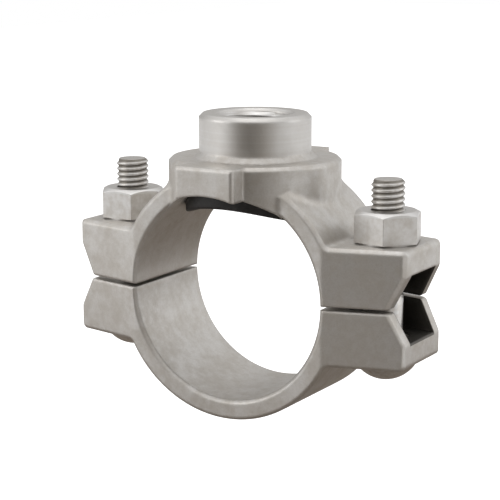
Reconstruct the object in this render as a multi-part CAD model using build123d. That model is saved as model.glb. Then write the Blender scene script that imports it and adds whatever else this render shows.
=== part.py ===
"""Mechanical tee for a 60.3 mm pipe with a 1/2 inch female threaded outlet.

Two cast housing halves are drawn round the pipe by a pair of oval-neck track
bolts with heavy hex nuts. The upper half carries the outlet boss and, in a
pocket under it, the gasket that seals round the hole cut in the pipe.

Frame: the pipe runs along Y, the outlet points along +Z, the bolts stand at
+X and -X, and the origin is on the pipe's axis, in the plane of the split.
Millimetres throughout.
"""
import os
from math import cos, hypot, radians, tan

from build123d import *

# Run: the half rings that grip the pipe
run_bore_r = 30.3
ring_outer_r = 36.0
ring_half_w = 17.8
bore_edge = 0.9
split_gap = 1.0

# Outlet: round base, bare pads front and rear, threaded boss
base_r = 24.9
base_top_z = 38.1
pad_half_w = 9.3
pad_face_y = 29.0
boss_r = 16.2
boss_top_z = 50.7
boss_edge = 1.1
boss_foot = 1.5
cast_edge = 1.0
thread_r = 10.48
thread_depth = 15.5
mouth_chamfer = 0.9
waterway_r = 9.0

# Gasket pocket: a ring sunk in the saddle round the waterway
pocket_in_r = 11.6
pocket_out_r = 20.2
pocket_depth = 4.0
gasket_play = 0.1

# Lugs: their side faces leave the round base at a tangent
bolt_x = 42.4
side_taper = radians(14.4)
lug_end_x = 53.6
lug_waist_x = 48.9
upper_lug_top = 17.0
lower_lug_bottom = 16.5
flange_t = 7.2
lug_foot = 2.2
split_edge = 0.4

# Both halves keep the ring's width across their middle, and the upper one's
# ring runs into the round base in a blend
plan_corner = 3.0
upper_edge = 1.0
lower_edge = 0.7
base_blend = 4.0
face_blend = 3.0

# Cores that hollow the lugs out round the bolts
core_wall = 4.0
core_in_x = 37.0
core_corner = 2.5

# Track bolts, 3/8 inch by 2 inch, 16 threads to the inch
bolt_r = 4.763
bolt_end_z = 34.7
head_r = 8.7
head_h = 5.8
head_rim = 0.9
head_crown_r = 4.2
neck_half_l = 6.6
neck_half_w = 4.9
neck_h = 5.6
neck_play = 0.3
hole_half_l = 6.4
hole_half_w = 5.3

# Heavy hex nuts, seated on spot faces on the upper lugs
nut_flats = 17.46
nut_h = 9.1
nut_play = 0.05
nut_face_r = 8.5
nut_face_h = 0.4
nut_crown = 1.1
nut_crown_in = 2.1
nut_turn_left = 0.0
nut_turn_right = -11.9
spot_r = 10.5

beyond = 90.0


def side_y(x):
    """Half width of a lug at x, on the side face that leaves the round base."""
    return base_r / cos(side_taper) - x * tan(side_taper)


def both_ends(shape):
    """A shape at +X together with its mirror image at -X."""
    return shape + mirror(shape, Plane.YZ)


def nearest(vertices, x, y):
    return vertices.sort_by_distance((x, y, 0))[0]


def rounded(points, radii):
    """Face from an outline, with the corners named by their index in radii rounded."""
    face = make_face(Polyline(*points, close=True))
    for index, radius in radii.items():
        face = fillet(nearest(face.vertices(), *points[index]), radius)
    return face


def turned(points):
    """Solid of revolution about Z from an outline of (radius, z) points."""
    return revolve(Plane.XZ * make_face(Polyline(*points, close=True)), Axis.Z)


def across(face):
    """Prism along the pipe of a face drawn in the end view."""
    return extrude(Plane.XZ * face, beyond, both=True)


def along_run(radius):
    return Rot(90, 0, 0) * Cylinder(radius, 2 * beyond)


def taper_x():
    """How far from the middle the lugs' side faces start to taper."""
    return (base_r / cos(side_taper) - ring_half_w) / tan(side_taper)


def plan():
    """Upright prism of a half's plan: flat across the middle, tapered along the lugs."""
    half_widths = [(0, ring_half_w), (taper_x(), ring_half_w), (beyond, side_y(beyond))]
    outline = half_widths + [(x, -y) for x, y in reversed(half_widths)]
    return extrude(both_ends(rounded(outline, {1: plan_corner, 4: plan_corner})), beyond)


def end_view(outer_z):
    """End view of one half: half a ring with a pair of lugs, waisted at the split."""
    flange_z = outer_z - flange_t
    points = [
        (0, split_gap / 2),
        (lug_waist_x, split_gap / 2),
        (lug_end_x, flange_z),
        (lug_end_x, outer_z),
        (0, outer_z),
    ]
    lugs = both_ends(rounded(points, {2: 2.0, 3: 1.6}))
    below = Pos(0, split_gap / 2 - ring_outer_r) * Rectangle(3 * ring_outer_r, 2 * ring_outer_r)
    profile = Circle(ring_outer_r) - below + lugs
    foot_x = (ring_outer_r**2 - outer_z**2) ** 0.5
    feet = [nearest(profile.vertices(), way * foot_x, outer_z) for way in (1, -1)]
    return fillet(feet, lug_foot)


def casting(outer_z, edge):
    """One half before its bore and cores are cut, with its cast edges taken off."""
    half = across(end_view(outer_z)) & plan()
    split_z = split_gap / 2

    def is_side(edge):
        middle = edge.center()
        at_taper = edge.geom_type == GeomType.LINE and abs(abs(middle.X) - taper_x()) < 1.5
        return middle.Z > split_z + 0.01 and abs(middle.Y) > ring_half_w / 2 and not at_taper

    half = chamfer(half.edges().filter_by(is_side), edge)
    return chamfer(half.edges().filter_by(lambda edge: abs(edge.center().Z - split_z) < 0.01), split_edge)


def lug_cores(flange_z):
    """The pair of cored pockets, open at the split and at the lug's outer end."""
    far_x = lug_end_x + 5
    points = [
        (core_in_x, core_wall - side_y(core_in_x)),
        (core_in_x, side_y(core_in_x) - core_wall),
        (far_x, side_y(far_x) - core_wall),
        (far_x, core_wall - side_y(far_x)),
    ]
    return both_ends(extrude(rounded(points, {0: core_corner, 1: core_corner}), flange_z))


def oval(half_l, half_w):
    """Oval with its long way across the pipe."""
    return SlotOverall(2 * half_l, 2 * half_w)


def bolt_holes(half_l, half_w):
    return both_ends(Pos(bolt_x, 0, 0) * extrude(oval(half_l, half_w), beyond))


def bore_chamfers():
    """The rings cut away where the bore meets the ring's two faces."""
    flare = Rot(-90, 0, 0) * Cone(run_bore_r, run_bore_r + bore_edge, bore_edge)
    front_and_back = Pos(0, ring_half_w - bore_edge / 2, 0) * flare
    return front_and_back + mirror(front_and_back, Plane.XZ)


def lower_housing():
    body = casting(lower_lug_bottom, lower_edge)
    body -= along_run(run_bore_r) + bore_chamfers()
    body -= lug_cores(lower_lug_bottom - flange_t)
    body -= bolt_holes(neck_half_l + neck_play, neck_half_w + neck_play)
    return mirror(body, Plane.XY)


def outlet_body():
    """Base, pads and boss, solid, down to the pipe's axis."""
    rim = [(base_r, base_top_z - cast_edge), (base_r - cast_edge, base_top_z)]
    base = turned([(0, 0), (base_r, 0), *rim, (0, base_top_z)])
    pads = Pos(0, 0, base_top_z / 2) * Box(2 * pad_half_w, 2 * pad_face_y, base_top_z)
    pads = fillet(pads.edges().filter_by(Axis.Z) + pads.edges().filter_by(Axis.X).group_by(Axis.Z)[-1], cast_edge)
    foot = [(boss_r + boss_foot, base_top_z), (boss_r, base_top_z + boss_foot)]
    lip = [(boss_r, boss_top_z - boss_edge), (boss_r - boss_edge, boss_top_z)]
    boss = turned([(0, 0), (boss_r + boss_foot, 0), *foot, *lip, (0, boss_top_z)])
    return base + pads + boss


def outlet_bore():
    """Threaded mouth above, narrower waterway below."""
    floor_z = boss_top_z - thread_depth
    outline = [
        (0, 0),
        (waterway_r, 0),
        (waterway_r, floor_z - (thread_r - waterway_r)),
        (thread_r, floor_z),
        (thread_r, boss_top_z - mouth_chamfer),
        (thread_r + mouth_chamfer, boss_top_z),
        (thread_r + mouth_chamfer, beyond),
        (0, beyond),
    ]
    return turned(outline)


def saddle_ring(out_r, in_r, depth):
    """Ring about the outlet, as deep as stated above the pipe's surface."""
    ring = extrude(Circle(out_r) - Circle(in_r), beyond)
    return ring & along_run(run_bore_r + depth)


def upper_solid():
    """Ring, lugs and outlet body in one, blended where the ring meets the round base."""
    body = casting(upper_lug_top, upper_edge) + outlet_body()

    def lies_on(edge, radius, *axes):
        places = [edge @ share for share in (0, 0.3, 0.5, 0.8, 1)]
        return all(abs(hypot(*(getattr(place, axis) for axis in axes)) - radius) < 0.02 for place in places)

    def on_ring_top(edge):
        return lies_on(edge, base_r, "X", "Y") and lies_on(edge, ring_outer_r, "X", "Z")

    def on_ring_face(edge):
        upright = edge.geom_type == GeomType.LINE and lies_on(edge, base_r, "X", "Y")
        return upright and abs(abs(edge.center().Y) - ring_half_w) < 0.02 and edge.center().Z < ring_outer_r / 2

    body = fillet(body.edges().filter_by(on_ring_top), base_blend)
    return fillet(body.edges().filter_by(on_ring_face), face_blend)


def upper_housing():
    body = upper_solid()
    body -= along_run(run_bore_r) + bore_chamfers()
    body -= saddle_ring(pocket_out_r, pocket_in_r, pocket_depth)
    body -= outlet_bore()
    body -= lug_cores(upper_lug_top - flange_t)
    body -= bolt_holes(hole_half_l, hole_half_w)
    body -= both_ends(Pos(bolt_x, 0, upper_lug_top) * extrude(Circle(spot_r), nut_h))
    return body


def outlet_gasket():
    """Gasket as it lies when the tee is tight: flush with the pipe's surface."""
    ring = saddle_ring(pocket_out_r - gasket_play, pocket_in_r + gasket_play, pocket_depth - gasket_play)
    return ring - along_run(run_bore_r)


def track_bolt():
    """Oval-neck bolt on the Z axis, button head down."""
    seat_z = -lower_lug_bottom
    low_z = seat_z - head_h
    outline = [
        (0, low_z),
        (head_crown_r, low_z),
        (head_r, seat_z - head_rim),
        (head_r, seat_z),
        (bolt_r, seat_z),
        (bolt_r, bolt_end_z),
        (0, bolt_end_z),
    ]
    neck = Pos(0, 0, seat_z) * extrude(oval(neck_half_l, neck_half_w), neck_h)
    return turned(outline) + neck


def hex_nut(turn):
    """Heavy hex nut on the Z axis, washer face down, seated on the upper lug."""
    corner_r = nut_flats / 2 / cos(radians(30))
    hexagon = extrude(RegularPolygon(corner_r, 6, rotation=turn), nut_h)
    outline = [
        (0, 0),
        (nut_face_r, 0),
        (nut_face_r, nut_face_h),
        (corner_r, nut_face_h),
        (corner_r, nut_h - nut_crown),
        (corner_r - nut_crown_in, nut_h),
        (0, nut_h),
    ]
    nut = (hexagon & turned(outline)) - Cylinder(bolt_r + nut_play, 3 * nut_h)
    return Pos(0, 0, upper_lug_top) * nut


if __name__ == "__main__":
    right = Pos(bolt_x, 0, 0)
    left = Pos(-bolt_x, 0, 0)
    nodes = {
        "upper_housing": upper_housing(),
        "lower_housing": lower_housing(),
        "outlet_gasket": outlet_gasket(),
        "track_bolt_left": left * track_bolt(),
        "track_bolt_right": right * track_bolt(),
        "hex_nut_left": left * hex_nut(nut_turn_left),
        "hex_nut_right": right * hex_nut(nut_turn_right),
    }
    os.makedirs("parts", exist_ok=True)
    for name, solid in nodes.items():
        export_step(solid, f"parts/{name}.step")
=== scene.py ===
"""A mechanical tee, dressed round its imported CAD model: cast housing halves with
their rubber gasket, two threaded track bolts with nuts, and the cut outlet thread.
"""
from math import atan, cos, pi, radians, sin

import bmesh
import bpy
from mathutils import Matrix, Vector


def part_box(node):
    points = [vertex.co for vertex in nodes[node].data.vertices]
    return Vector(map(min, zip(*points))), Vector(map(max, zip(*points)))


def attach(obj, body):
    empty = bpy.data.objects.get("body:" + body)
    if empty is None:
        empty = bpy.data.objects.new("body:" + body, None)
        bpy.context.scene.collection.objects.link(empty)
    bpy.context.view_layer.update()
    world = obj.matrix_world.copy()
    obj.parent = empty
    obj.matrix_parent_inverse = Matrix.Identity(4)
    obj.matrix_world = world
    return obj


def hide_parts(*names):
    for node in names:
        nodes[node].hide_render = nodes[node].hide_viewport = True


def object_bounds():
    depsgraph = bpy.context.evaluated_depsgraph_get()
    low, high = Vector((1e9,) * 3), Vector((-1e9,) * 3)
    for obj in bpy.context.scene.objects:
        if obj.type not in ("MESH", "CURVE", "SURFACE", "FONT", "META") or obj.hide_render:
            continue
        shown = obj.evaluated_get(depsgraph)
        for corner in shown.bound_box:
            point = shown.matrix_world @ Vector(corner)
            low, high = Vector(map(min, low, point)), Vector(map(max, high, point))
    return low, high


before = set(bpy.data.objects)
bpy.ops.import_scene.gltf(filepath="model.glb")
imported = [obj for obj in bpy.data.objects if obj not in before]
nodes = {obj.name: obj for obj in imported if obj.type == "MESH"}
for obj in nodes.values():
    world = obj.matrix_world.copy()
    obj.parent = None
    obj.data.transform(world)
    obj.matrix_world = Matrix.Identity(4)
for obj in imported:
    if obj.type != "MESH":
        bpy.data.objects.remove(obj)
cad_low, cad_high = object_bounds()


# ---------------------------------------------------------------------------
# Housing halves. Two stainless steel castings, blasted to an even satin grain,
# then machined only where something seats or screws in: the outlet boss, its
# mouth, and the spot faces under the nuts. The CAD solids have their shape.
# ---------------------------------------------------------------------------

millimetre = 0.001


class Socket:
    """An output of a node. Arithmetic on number sockets adds their Math nodes."""

    def __init__(self, finish, link):
        self.finish = finish
        self.link = link

    def math(self, operation, *values):
        return self.finish.add("ShaderNodeMath", {"operation": operation}, values)

    def __add__(self, other):
        return self.math("ADD", self, other)

    def __sub__(self, other):
        return self.math("SUBTRACT", self, other)

    def __rsub__(self, other):
        return self.math("SUBTRACT", other, self)

    def __mul__(self, other):
        return self.math("MULTIPLY", self, other)

    def __abs__(self):
        return self.math("ABSOLUTE", self)

    def __pow__(self, other):
        return self.math("POWER", self, other)

    __radd__ = __add__
    __rmul__ = __mul__

    def most(self, other):
        return self.math("MAXIMUM", self, other)

    def fade(self, start, end):
        """0 before start and 1 past end, with a soft change between them."""
        smooth = {"interpolation_type": "SMOOTHSTEP"}
        return self.finish.add("ShaderNodeMapRange", smooth, {"Value": self, "From Min": start, "From Max": end})


class Finish:
    """A material under construction, with its principled shader."""

    def __init__(self, name):
        self.material = bpy.data.materials.new(name)
        self.material.use_nodes = True
        self.tree = self.material.node_tree
        self.surface = self.tree.nodes["Principled BSDF"]

    def link(self, value, socket):
        if isinstance(value, Socket):
            self.tree.links.new(value.link, socket)
        else:
            socket.default_value = value

    def add(self, kind, settings=None, sockets=(), output=0):
        """A node with its settings made first, then its sockets set or linked."""
        node = self.tree.nodes.new(kind)
        for name, value in (settings or {}).items():
            if name == "stops":
                for stop, (place, colour) in zip(self.stops(node, len(value)), value):
                    stop.position = place
                    stop.color = colour
            else:
                setattr(node, name, value)
        pairs = sockets.items() if isinstance(sockets, dict) else enumerate(sockets)
        for name, value in pairs:
            self.link(value, node.inputs[name])
        return Socket(self, node.outputs[output])

    def stops(self, node, count):
        """The stops of a ramp, with more added up to a count."""
        elements = node.color_ramp.elements
        while len(elements) < count:
            elements.new(1.0)
        return list(elements)

    def place(self, centre=(0, 0, 0)):
        """Object coordinates, measured from a centre given in metres."""
        seen = self.add("ShaderNodeTexCoord", output="Object")
        return self.add("ShaderNodeVectorMath", {"operation": "SUBTRACT"}, (seen, centre))

    def parts(self, vector):
        split = self.add("ShaderNodeSeparateXYZ", {}, (vector,))
        return [Socket(self, output) for output in split.link.node.outputs]

    def noise(self, place, size, detail=2.0, roughness=0.5, stretch=(1, 1, 1)):
        """Cloudy pattern from 0 to 1 whose patches are about this size in metres."""
        scaled = self.add("ShaderNodeVectorMath", {"operation": "MULTIPLY"}, (place, stretch))
        values = {"Vector": scaled, "Scale": 1 / size, "Detail": detail, "Roughness": roughness}
        return self.add("ShaderNodeTexNoise", {}, values)

    def blend(self, factor, first, second):
        """Colour mixed from two, by a factor from 0 to 1."""
        return self.add("ShaderNodeMix", {"data_type": "RGBA"}, {0: factor, 6: first, 7: second}, 2)

    def softened(self, radius):
        """The surface's direction with its edges and inner corners worn round."""
        return self.add("ShaderNodeBevel", {"samples": 6}, {"Radius": radius})

    def bump(self, height, depth, beneath=None):
        """Raised pattern: height from 0 to 1 stands for this depth in metres."""
        values = {"Height": height, "Distance": depth, "Strength": 1.0}
        if beneath:
            values["Normal"] = beneath
        return self.add("ShaderNodeBump", {}, values)

    def wear(self, **looks):
        """Link looks to the principled shader and hand back the finished material."""
        for name, value in looks.items():
            self.link(value, self.surface.inputs[name.replace("_", " ").title()])
        return self.material


def shade(level, warm=0.0):
    """A neutral grey, or a slightly warm one, as a colour."""
    return (level * (1 + warm), level, level * (1 - 1.3 * warm), 1)


pale_cast = shade(0.60, 0.03)
dull_cast = shade(0.50, 0.06)
# near-black painted shade for the insides of the lug cores
core_painted_shade = shade(0.06, 0.10)
turned_steel = shade(0.62, 0.02)
worn_edge = 1.0 * millimetre
grain_depth = 0.05 * millimetre
nut_seat_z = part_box("hex_nut_left")[0].z
boss_top_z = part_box("upper_housing")[1].z
bolt_x = (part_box("hex_nut_right")[0].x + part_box("hex_nut_right")[1].x) / 2
boss_side_r = 16.2 * millimetre
boss_foot_z = 39.7 * millimetre
spot_face_r = 10.5 * millimetre
# The cores in the lugs: their inner end, their roof, and a half width that
# narrows with the distance from the outlet's axis
core_in_x = 37.0 * millimetre
core_roof_z = 9.8 * millimetre
core_at_axis = 21.708 * millimetre
core_taper = 0.25676


def cast_steel(name, machined):
    """Blasted casting: clouded grey, painted shade darkening the lug cores, and turned faces where machined."""
    finish = Finish(name)
    place = finish.place()
    clouds = finish.noise(place, 9 * millimetre, 4, 0.6)
    patches = finish.noise(place, 2.4 * millimetre, 3, 0.6)
    grain = finish.noise(place, 0.5 * millimetre, 3, 0.65)
    dulled = (clouds * 0.6 + patches * 0.4).fade(0.36, 0.64)
    colour = finish.blend(dulled, pale_cast, dull_cast)
    speck = grain.fade(0.3, 0.75) * 0.25
    colour = finish.blend(speck, colour, shade(0.38, 0.07))
    roughness = 0.36 + dulled * 0.08 + grain * 0.10
    height = grain * 0.55 + patches * 0.45
    x, y, z = finish.parts(place)
    core_half_w = core_at_axis - abs(x) * core_taper
    past_core_end = abs(x).fade(core_in_x - 0.4 * millimetre, core_in_x - 0.1 * millimetre)
    past_core_side = (abs(y) - core_half_w).fade(0.05 * millimetre, 0.25 * millimetre)
    past_core_roof = abs(z).fade(core_roof_z + 0.05 * millimetre, core_roof_z + 0.2 * millimetre)
    core_shade_mask = past_core_end * (1 - past_core_side) * (1 - past_core_roof)
    # painted shade: the lug cores are darkened almost to black, standing in for the shade inside these recesses
    colour = finish.blend(core_shade_mask * 0.88, colour, core_painted_shade)
    if machined:
        from_outlet = (x * x + y * y) ** 0.5
        from_bolt = ((abs(x) - bolt_x) ** 2 + y * y) ** 0.5
        above_foot = z.fade(boss_foot_z, boss_foot_z + 0.4 * millimetre)
        past_boss = from_outlet.fade(boss_side_r + 0.1 * millimetre, boss_side_r + 0.3 * millimetre)
        on_boss = above_foot * (1 - past_boss)
        past_spot = from_bolt.fade(spot_face_r, spot_face_r + 0.2 * millimetre)
        off_seat = abs(z - nut_seat_z).fade(0.1 * millimetre, 0.25 * millimetre)
        on_spot = (1 - past_spot) * (1 - off_seat)
        turned = on_boss.most(on_spot)
        tool_marks = finish.noise(place, 1.2 * millimetre, 3, 0.6, (0.02, 0.02, 1.6))
        swept = finish.blend(tool_marks.fade(0.35, 0.65), turned_steel, shade(0.58, 0.03))
        colour = finish.blend(turned * 0.75, colour, swept)
        roughness = roughness - turned * 0.10
        height = height * (1 - turned * 0.7) + tool_marks * turned * 0.08
    bumps = finish.bump(height, grain_depth, finish.softened(worn_edge))
    return finish.wear(base_color=colour, metallic=0.9, roughness=roughness, normal=bumps)


def dress(node, material):
    for index in range(len(nodes[node].material_slots)):
        nodes[node].material_slots[index].material = material


dress("upper_housing", cast_steel("cast_steel_upper_look", machined=True))
dress("lower_housing", cast_steel("cast_steel_lower_look", machined=False))


# ---------------------------------------------------------------------------
# Outlet thread. A 1/2 inch pipe thread, 14 turns to the inch, cut in the boss.
# The CAD bore has its root, and this ridge winds down it from the mouth.
# ---------------------------------------------------------------------------

def finished_piece(name, shape, material, body):
    """A mesh object from a bmesh, smooth but for its sharp edges, riding on a body."""
    mesh = bpy.data.meshes.new(name)
    shape.to_mesh(mesh)
    shape.free()
    mesh.materials.append(material)
    for face in mesh.polygons:
        face.use_smooth = True
    mesh.set_sharp_from_angle(angle=radians(38))
    piece = bpy.data.objects.new(name, mesh)
    bpy.context.scene.collection.objects.link(piece)
    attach(piece, body)
    return piece


def ring_of_points(shape, points):
    """Vertices in the XZ plane joined into a closed outline with a face."""
    corners = [shape.verts.new((x, 0, z)) for x, z in points]
    return shape.faces.new(corners)


def wound_ridge(points, pitch, turns, steps_per_turn):
    """Closed ridge: an outline of (radius, height) points wound up about Z."""
    shape = bmesh.new()
    outline = ring_of_points(shape, points)
    steps = round(turns * steps_per_turn)
    bmesh.ops.spin(
        shape, geom=[outline] + list(outline.edges) + list(outline.verts), cent=(0, 0, 0), axis=(0, 0, 1),
        dvec=(0, 0, pitch / steps_per_turn), angle=2 * pi * steps / steps_per_turn, steps=steps, use_merge=False)
    bmesh.ops.remove_doubles(shape, verts=shape.verts, dist=1e-7)
    bmesh.ops.recalc_face_normals(shape, faces=shape.faces)
    return shape


outlet_pitch = 25.4 / 14 * millimetre
outlet_root_r = 10.48 * millimetre
outlet_crest_r = 9.45 * millimetre
outlet_thread_z = 35.6 * millimetre
thread_sink = 0.12 * millimetre
outlet_turns = (boss_top_z - outlet_thread_z) / outlet_pitch - 0.4
crest_half = 0.09 * millimetre
root_half = outlet_pitch / 2 - 0.05 * millimetre
mouth_chamfer = 0.9 * millimetre

outlet_thread = wound_ridge(
    [
        (outlet_root_r + thread_sink, -root_half),
        (outlet_root_r, -root_half),
        (outlet_crest_r, -crest_half),
        (outlet_crest_r, crest_half),
        (outlet_root_r, root_half),
        (outlet_root_r + thread_sink, root_half),
    ],
    outlet_pitch, outlet_turns, 64)
bmesh.ops.translate(outlet_thread, vec=(0, 0, outlet_thread_z), verts=outlet_thread.verts)
mouth_z = boss_top_z - mouth_chamfer
for vertex in outlet_thread.verts:
    radius = vertex.co.xy.length
    run_out = min(1, max(0, (vertex.co.z - outlet_thread_z) / (2 * outlet_pitch)))
    held = outlet_root_r - (outlet_root_r - outlet_crest_r) * run_out
    held = max(held, outlet_root_r + vertex.co.z - mouth_z)
    if radius < held:
        vertex.co.xy *= held / radius
    vertex.co.z = min(vertex.co.z, boss_top_z - 0.05 * millimetre)


def cut_steel(name):
    """Freshly cut steel, bright, with fine marks along the cut."""
    finish = Finish(name)
    place = finish.place()
    marks = finish.noise(place, 0.8 * millimetre, 3, 0.6, (0.15, 0.15, 2.5))
    colour = finish.blend(marks.fade(0.3, 0.7), shade(0.66, 0.01), shade(0.48, 0.04))
    return finish.wear(base_color=colour, metallic=0.95, roughness=0.24 + marks * 0.14,
                       normal=finish.bump(marks, 0.01 * millimetre))


finished_piece("outlet_thread", outlet_thread, cut_steel("cut_thread_look"), "upper_half")


# ---------------------------------------------------------------------------
# Gasket. A moulded black rubber ring, pressed into the pocket in the saddle.
# Free of the pipe it stands proud of the bore, with a face flatter than the pipe.
# ---------------------------------------------------------------------------
pocket_roof_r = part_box("outlet_gasket")[1].z
ring_out_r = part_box("outlet_gasket")[1].x
ring_in_r = 11.7 * millimetre
face_low_z = 25.25 * millimetre
face_curve_r = 45 * millimetre
rounding = 0.9 * millimetre


def rubber():
    """Matt black rubber with a faint mould bloom and fine specks."""
    finish = Finish("gasket_rubber_look")
    place = finish.place()
    bloom = finish.noise(place, 4 * millimetre, 4, 0.65)
    specks = finish.noise(place, 0.35 * millimetre, 2, 0.6)
    colour = finish.blend(bloom.fade(0.45, 0.75), (0.011, 0.010, 0.010, 1), (0.035, 0.033, 0.032, 1))
    bumps = finish.bump(specks * 0.6 + bloom * 0.4, 0.04 * millimetre)
    return finish.wear(base_color=colour, roughness=0.46 + bloom * 0.16, normal=bumps)


gasket = bmesh.new()
ring_of_points(gasket, [(ring_in_r, 0), (ring_out_r, 0), (ring_out_r, 1), (ring_in_r, 1)])
depth = pocket_roof_r - face_low_z
bmesh.ops.scale(gasket, vec=(1, 1, depth), verts=gasket.verts)
bmesh.ops.bevel(
    gasket, geom=list(gasket.verts), offset=rounding, offset_type="OFFSET", affect="VERTICES",
    segments=5, profile=0.5, material=-1)
bmesh.ops.spin(
    gasket, geom=list(gasket.verts) + list(gasket.edges) + list(gasket.faces), cent=(0, 0, 0), axis=(0, 0, 1),
    angle=2 * pi, steps=120, use_merge=True)
bmesh.ops.delete(gasket, geom=[f for f in gasket.faces if len(f.verts) > 4], context="FACES_ONLY")
bmesh.ops.remove_doubles(gasket, verts=gasket.verts, dist=1e-7)
bmesh.ops.recalc_face_normals(gasket, faces=gasket.faces)
for vertex in gasket.verts:
    face_z = face_low_z - face_curve_r + (face_curve_r ** 2 - vertex.co.x ** 2) ** 0.5
    roof_z = (pocket_roof_r ** 2 - vertex.co.x ** 2) ** 0.5
    vertex.co.z = face_z + (roof_z - face_z) * vertex.co.z / depth
gasket_piece = finished_piece("free_gasket", gasket, rubber(), "upper_half")
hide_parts("outlet_gasket")


# ---------------------------------------------------------------------------
# Track bolts. Cold formed stainless, with a button head, an oval neck that the
# lower lug holds, and a rolled 3/8 inch thread of 16 turns to the inch.
# ---------------------------------------------------------------------------
bolt_pitch = 25.4 / 16 * millimetre
crest_r = 4.763 * millimetre
root_r = 4.15 * millimetre
end_chamfer = 0.9 * millimetre
thread_start_z = 2.0 * millimetre
bolt_low, bolt_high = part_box("track_bolt_left")
bolt_head_r = (bolt_high.x - bolt_low.x) / 2
head_seat_z = -16.5 * millimetre
head_rim_h = 0.9 * millimetre
neck_half_l = 6.6 * millimetre
neck_half_w = 4.9 * millimetre
neck_top_z = head_seat_z + 5.6 * millimetre
steps_per_turn = 48


def spun(points, steps):
    """Closed solid of revolution about Z from (radius, height) points on an open line."""
    shape = bmesh.new()
    line = [shape.verts.new((x, 0, z)) for x, z in points]
    edges = [shape.edges.new(pair) for pair in zip(line, line[1:])]
    bmesh.ops.spin(
        shape, geom=line + edges, cent=(0, 0, 0), axis=(0, 0, 1), angle=2 * pi, steps=steps, use_merge=True)
    bmesh.ops.remove_doubles(shape, verts=shape.verts, dist=1e-7)
    bmesh.ops.recalc_face_normals(shape, faces=shape.faces)
    return shape


def add_into(shape, other):
    """Put another closed shell into the same piece."""
    mesh = bpy.data.meshes.new("shell")
    other.to_mesh(mesh)
    other.free()
    shape.from_mesh(mesh)
    bpy.data.meshes.remove(mesh)


def threaded_rod(low_z, high_z):
    """Rolled thread from low_z to high_z, flat at both ends and chamfered at the top."""
    shape = bmesh.new()
    profile = [
        (root_r, 0),
        (root_r + 0.12 * (crest_r - root_r), 0.10 * bolt_pitch),
        (crest_r - 0.05 * (crest_r - root_r), 0.42 * bolt_pitch),
        (crest_r, 0.46 * bolt_pitch),
        (crest_r, 0.54 * bolt_pitch),
        (crest_r - 0.05 * (crest_r - root_r), 0.58 * bolt_pitch),
        (root_r + 0.12 * (crest_r - root_r), 0.90 * bolt_pitch),
        (root_r, bolt_pitch),
    ]
    line = [shape.verts.new((x, 0, z)) for x, z in profile]
    edges = [shape.edges.new(pair) for pair in zip(line, line[1:])]
    turns = round((high_z - low_z) / bolt_pitch) + 3
    bmesh.ops.spin(
        shape, geom=line + edges, cent=(0, 0, 0), axis=(0, 0, 1), dvec=(0, 0, bolt_pitch / steps_per_turn),
        angle=2 * pi * turns, steps=turns * steps_per_turn, use_merge=False)
    bmesh.ops.remove_doubles(shape, verts=shape.verts, dist=1e-6)
    bmesh.ops.translate(shape, vec=(0, 0, low_z - 1.5 * bolt_pitch), verts=shape.verts)
    for height, way in ((high_z, 1), (low_z, -1)):
        everything = list(shape.verts) + list(shape.edges) + list(shape.faces)
        cut = bmesh.ops.bisect_plane(
            shape, geom=everything, dist=1e-8, plane_co=(0, 0, height), plane_no=(0, 0, way), clear_outer=True)
        rim = [part for part in cut["geom_cut"] if isinstance(part, bmesh.types.BMEdge)]
        bmesh.ops.triangle_fill(shape, edges=rim, use_beauty=True)
    bmesh.ops.recalc_face_normals(shape, faces=shape.faces)
    for vertex in shape.verts:
        radius = vertex.co.xy.length
        widest = crest_r - end_chamfer + high_z - vertex.co.z
        if radius > widest:
            vertex.co.xy *= widest / radius
    return shape


def track_bolt(side):
    """Button head, oval neck and threaded shank on one bolt's axis."""
    dome_h = head_seat_z - bolt_low.z - head_rim_h
    dome_r = (bolt_head_r ** 2 + dome_h ** 2) / (2 * dome_h)
    sweep = atan(bolt_head_r / (dome_r - dome_h))
    dome = [
        (dome_r * sin(sweep * step / 12), bolt_low.z + dome_r * (1 - cos(sweep * step / 12)))
        for step in range(12)
    ]
    shank_r = crest_r - 0.05 * millimetre
    line = dome + [
        (bolt_head_r - 0.12 * millimetre, head_seat_z - head_rim_h - 0.1 * millimetre),
        (bolt_head_r, head_seat_z - head_rim_h + 0.15 * millimetre),
        (bolt_head_r, head_seat_z - 0.2 * millimetre),
        (bolt_head_r - 0.2 * millimetre, head_seat_z),
        (shank_r, head_seat_z),
        (shank_r, thread_start_z - 0.6 * millimetre),
        (root_r, thread_start_z + 0.2 * millimetre),
        (0, thread_start_z + 0.2 * millimetre),
    ]
    bolt = spun(line, 64)
    neck = bmesh.new()
    bmesh.ops.create_circle(neck, cap_ends=True, radius=neck_half_w, segments=48)
    for vertex in neck.verts:
        vertex.co.x += (neck_half_l - neck_half_w) * (1 if vertex.co.x > 0 else -1)
    raised = bmesh.ops.extrude_face_region(neck, geom=list(neck.faces))
    top = [part for part in raised["geom"] if isinstance(part, bmesh.types.BMVert)]
    bmesh.ops.translate(neck, vec=(0, 0, neck_top_z - head_seat_z), verts=top)
    bmesh.ops.translate(neck, vec=(0, 0, head_seat_z), verts=neck.verts)
    bmesh.ops.recalc_face_normals(neck, faces=neck.faces)
    add_into(bolt, neck)
    add_into(bolt, threaded_rod(thread_start_z, bolt_high.z))
    bmesh.ops.translate(bolt, vec=(side * bolt_x, 0, 0), verts=bolt.verts)
    return bolt


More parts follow.
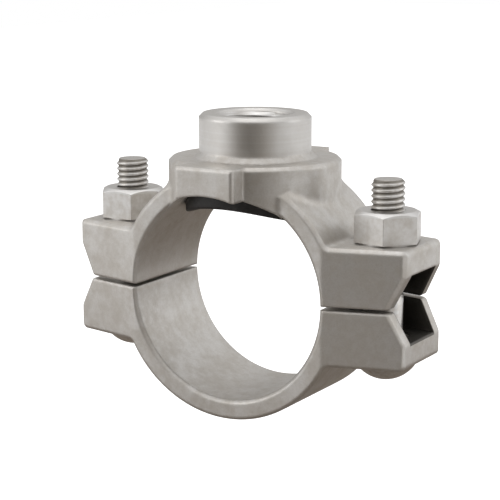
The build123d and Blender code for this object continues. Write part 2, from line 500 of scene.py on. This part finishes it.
def rolled_steel(name, side):
    """Cold formed steel: drawn sheen, with painted shade darkening the thread roots below the plain crests."""
    finish = Finish(name)
    place = finish.place((side * bolt_x, 0, 0))
    x, y, z = finish.parts(place)
    from_axis = (x * x + y * y) ** 0.5
    on_thread = z.fade(thread_start_z - 0.2 * millimetre, thread_start_z + 0.2 * millimetre)
    shaded_roots = (1 - from_axis.fade(root_r + 0.1 * millimetre, crest_r - 0.1 * millimetre)) * on_thread
    shaded_roots = shaded_roots * (1 - z.fade(bolt_high.z - 0.05 * millimetre, bolt_high.z - 0.01 * millimetre))
    streaks = finish.noise(place, 1.0 * millimetre, 3, 0.6)
    colour = finish.blend(streaks.fade(0.3, 0.7), shade(0.68, 0.015), shade(0.56, 0.05))
    # painted shade: the thread roots are darkened, standing in for the shade between the crests
    colour = finish.blend(shaded_roots * 0.85, colour, shade(0.16, 0.12))
    roughness = 0.26 + streaks * 0.12 + shaded_roots * 0.15
    return finish.wear(base_color=colour, metallic=0.95, roughness=roughness,
                       normal=finish.bump(streaks, 0.012 * millimetre))


for side, name in ((-1, "left"), (1, "right")):
    bolt_piece = finished_piece(
        f"threaded_bolt_{name}", track_bolt(side), rolled_steel(f"rolled_steel_{name}_look", side),
        "lower_half")
    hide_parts(f"track_bolt_{name}")


# ---------------------------------------------------------------------------
# Nuts. Heavy hexagons cut from bar: drawn flats, a turned chamfer round the
# top corners, and a plain washer face. The CAD solids have their shape.
# ---------------------------------------------------------------------------

def nut_steel(name, side):
    finish = Finish(name)
    place = finish.place((side * bolt_x, 0, 0))
    x, y, z = finish.parts(place)
    nut_top_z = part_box("hex_nut_left")[1].z
    chamfered = z.fade(nut_top_z - 1.3 * millimetre, nut_top_z - 0.9 * millimetre)
    clouds = finish.noise(place, 3 * millimetre, 4, 0.6)
    drawn = finish.noise(place, 0.6 * millimetre, 3, 0.6, (1, 1, 0.12))
    colour = finish.blend(clouds.fade(0.35, 0.7), shade(0.68, 0.02), shade(0.55, 0.05))
    colour = finish.blend(chamfered * 0.6, colour, shade(0.70, 0.01))
    roughness = 0.34 + clouds * 0.12 - chamfered * 0.08
    bumps = finish.bump(drawn * 0.6 + clouds * 0.4, 0.025 * millimetre, finish.softened(0.25 * millimetre))
    return finish.wear(base_color=colour, metallic=0.92, roughness=roughness, normal=bumps)


for side, name in ((-1, "left"), (1, "right")):
    dress(f"hex_nut_{name}", nut_steel(f"nut_steel_{name}_look", side))


# ---------------------------------------------------------------------------
# Floor. One pale sheet, lit like paper and lifted to white where it is looked
# at. Close under the object, mirrored rays meet a dull brown sheet of painted shade instead, which darkens what
# the metal reflects there.
# ---------------------------------------------------------------------------
def sheet(name, low, high, height, material):
    """A flat rectangle of the set, from one corner to the other, facing up."""
    shape = bmesh.new()
    corners = [(low[0], low[1]), (high[0], low[1]), (high[0], high[1]), (low[0], high[1])]
    shape.faces.new([shape.verts.new((x, y, height)) for x, y in corners])
    mesh = bpy.data.meshes.new(name)
    shape.to_mesh(mesh)
    shape.free()
    mesh.materials.append(material)
    piece = bpy.data.objects.new(name, mesh)
    bpy.context.scene.collection.objects.link(piece)
    return piece


def matt(name, colour):
    finish = Finish(name)
    finish.wear(base_color=colour, roughness=1.0)
    finish.link(0.0, finish.surface.inputs["Specular IOR Level"])
    return finish


floor_z = cad_low.z - 0.045
paper = matt("paper_look", (0.82, 0.82, 0.82, 1))
looked_at = paper.add("ShaderNodeLightPath", output="Is Camera Ray")
mirrored = Socket(paper, looked_at.link.node.outputs["Is Glossy Ray"])
through = Socket(paper, looked_at.link.node.outputs["Is Transmission Ray"])
lifted = looked_at.most(mirrored * 0.3).most(through)
paper.link((1, 1, 1, 1), paper.surface.inputs["Emission Color"])
paper.link(lifted * 0.6, paper.surface.inputs["Emission Strength"])
sheet("floor", (-1.6, -0.15), (1.6, 3.05), floor_z, paper.material)

# painted shade: a dark brown sheet that only reflections see, standing in for the shade under and behind the
# object
brown = matt("reflected_shade_look", (0.22, 0.185, 0.155, 1))
reflected_shade_sheet = sheet("reflected_shade_sheet", (-0.35, -0.12), (0.17, 0.40), floor_z + 0.004, brown.material)
for kind in ("camera", "diffuse", "shadow", "transmission"):
    setattr(reflected_shade_sheet, f"visible_{kind}", False)


# ---------------------------------------------------------------------------
# Light. A pale room, bright on the left and at the right rear, dim and warm in
# front and to the right, with three broad soft lamps.
# ---------------------------------------------------------------------------
def lamp(name, place, width, power):
    light = bpy.data.lights.new(name, "AREA")
    light.shape = "SQUARE"
    light.size = width
    light.energy = power
    holder = bpy.data.objects.new(name, light)
    holder.location = place
    holder.rotation_euler = (-Vector(place)).to_track_quat("-Z", "Y").to_euler()
    bpy.context.scene.collection.objects.link(holder)


lamp("soft_left", (-0.70, -0.58, 0.45), 0.5, 1.3)
lamp("soft_right", (0.80, 0.48, 0.40), 0.5, 0.7)
lamp("soft_top", (-0.1, 0.1, 0.9), 0.6, 1.0)

room = bpy.data.worlds.new("room")
room.use_nodes = True
bpy.context.scene.world = room


class Room(Finish):
    """The world's nodes, built in the same way as a material's."""

    def __init__(self, world):
        self.tree = world.node_tree
        self.surface = self.tree.nodes["Background"]


# Round the horizon: degrees from the front (-Y) towards +X, the room's
# brightness there, and how brown it is from 0 to 1
brightest = 1.2
round_the_room = [
    (-180, 0.72, 0), (-150, 0.42, 0.3), (-110, 0.55, 0), (-75, 0.98, 0), (-48, 1.18, 0), (-30, 0.94, 0),
    (-10, 0.36, 0.5), (4, 0.15, 1), (25, 0.12, 1), (45, 0.30, 0.8), (61, 0.52, 0.4), (90, 0.68, 0),
    (121, 0.84, 0), (150, 0.90, 0), (180, 0.72, 0),
]
air = Room(room)
look = air.add("ShaderNodeTexCoord", output="Generated")
ahead, along, above = air.parts(look)
bearing = ahead.math("ARCTAN2", ahead, along * -1) * (1 / (2 * pi)) + 0.5
stops = []
for degrees, level, warmth in round_the_room:
    share = level / brightest
    stops.append((degrees / 360 + 0.5, (share, share * (1 - 0.11 * warmth), share * (1 - 0.24 * warmth), 1)))
walls = air.add("ShaderNodeValToRGB", {"stops": stops}, (bearing,))
higher = above.fade(0.30, 0.75)
lower = 1 - above.fade(-0.6, 0.0)
ceiling = air.blend(higher, walls, shade(0.95 / brightest))
power = brightest * (1 - lower * 0.30)
seen = air.add("ShaderNodeLightPath", output="Is Camera Ray")
air.link(air.blend(seen, ceiling, (1, 1, 1, 1)), air.surface.inputs["Color"])
air.link(power * (1 - seen) + seen, air.surface.inputs["Strength"])
bpy.context.scene.view_settings.view_transform = "Standard"


# ---------------------------------------------------------------------------
# Camera. A long lens, a little above the pipe's axis and to the right of it.
# ---------------------------------------------------------------------------
camera_azimuth = 0.51917
camera_elevation = 0.212356
camera_distance = 0.49933
towards = Vector((
    sin(camera_azimuth) * cos(camera_elevation),
    -cos(camera_azimuth) * cos(camera_elevation),
    sin(camera_elevation),
))
lens = bpy.data.cameras.new("camera")
lens.sensor_width = 36
lens.lens = 122.93
lens.shift_x = -0.01044
lens.shift_y = 0.0709
lens.clip_start = 0.01
camera = bpy.data.objects.new("camera", lens)
camera.location = towards * camera_distance
camera.rotation_euler = towards.to_track_quat("Z", "Y").to_euler()
bpy.context.scene.collection.objects.link(camera)
bpy.context.scene.camera = camera
